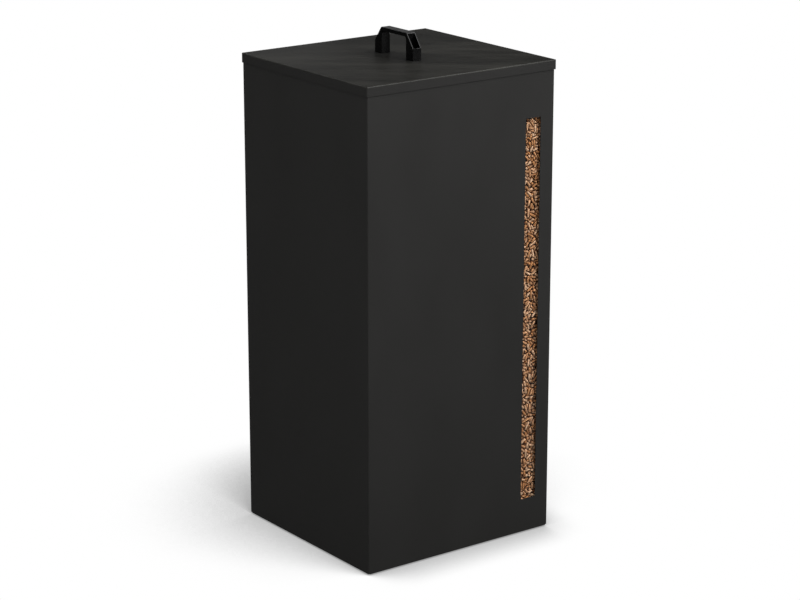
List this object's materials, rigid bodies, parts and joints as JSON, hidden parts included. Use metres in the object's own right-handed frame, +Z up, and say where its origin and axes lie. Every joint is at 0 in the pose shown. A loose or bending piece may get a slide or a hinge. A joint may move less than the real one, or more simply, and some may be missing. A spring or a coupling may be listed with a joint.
{
  "type": "pellet storage bin",
  "caption": "Tall rectangular sheet steel bin for wood pellets, with a narrow full-height viewing window in the front and a lift-off lid with a bridge handle.",
  "frame": {"origin": "on the floor, under the middle of the bin", "axes": "+Z up, the window face towards -Y, the window near its +X edge"},
  "size_m": [0.3282, 0.3052, 0.74],
  "materials": {
    "powder_coat": "fine matt black powder coat",
    "clear_pane": "clear acrylic",
    "foam": "closed-cell foam tape",
    "zinc": "bright zinc plate",
    "handle_plastic": "moulded black, satin gloss",
    "rubber": "matt black",
    "pellets": "pressed sawdust"
  },
  "bodies": {
    "bin": {"body_wrap": "powder_coat", "back_panel": "powder_coat", "floor_pan": "powder_coat", "window_pane": "clear_pane", "window_gasket": "foam", "clamp_strip_left": "powder_coat", "clamp_strip_right": "powder_coat", "window_studs": "zinc", "window_washers": "zinc", "window_nuts": "zinc", "foot_front_left": "rubber", "foot_front_right": "rubber", "foot_back_left": "rubber", "foot_back_right": "rubber"},
    "lid": {"lid_panel": "powder_coat", "lid_buffers": "rubber", "handle": "handle_plastic", "handle_screws": "zinc", "handle_washers": "zinc", "handle_nuts": "zinc"}
  },
  "joints": [
    {"name": "lid_lift", "type": "slide", "parent": "bin", "child": "lid", "axis": [0, 0, 1], "range_m": [0, 0.15]}
  ]
}
